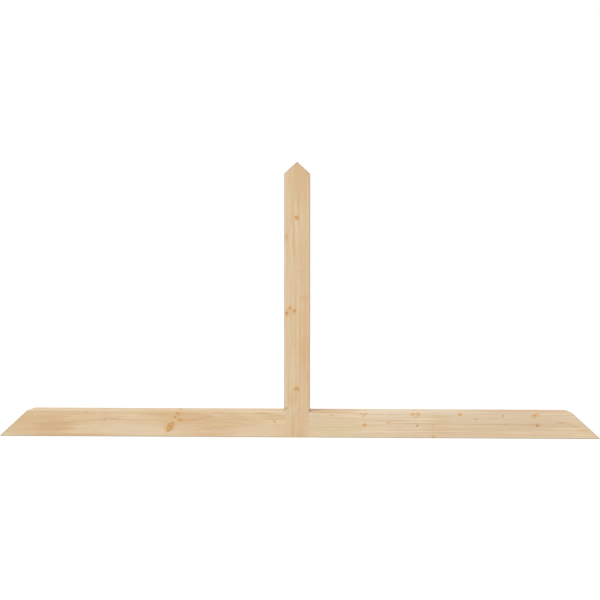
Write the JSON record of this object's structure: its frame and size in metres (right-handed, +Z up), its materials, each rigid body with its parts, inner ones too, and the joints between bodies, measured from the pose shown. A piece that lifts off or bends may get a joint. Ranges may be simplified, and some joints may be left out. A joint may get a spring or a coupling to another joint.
{
  "type": "timber gable bracket",
  "caption": "Softwood gable ornament: a king post standing on a tie beam, cut to the roof slopes to sit under the point of a gable.",
  "frame": {"origin": "middle of the underside of the tie beam, halfway between front and back", "axes": "+X along the tie beam to the right as seen from the front, +Y from the front face to the wall, +Z up the king post"},
  "size_m": [1.8288, 0.078, 0.8382],
  "materials": {
    "planed_softwood": "matte",
    "beech_dowel": "matte"
  },
  "bodies": {
    "root": {"king_post": "planed_softwood", "tie_beam_left": "planed_softwood", "tie_beam_right": "planed_softwood", "dowel_upper": "beech_dowel", "dowel_lower": "beech_dowel"}
  },
  "joints": []
}
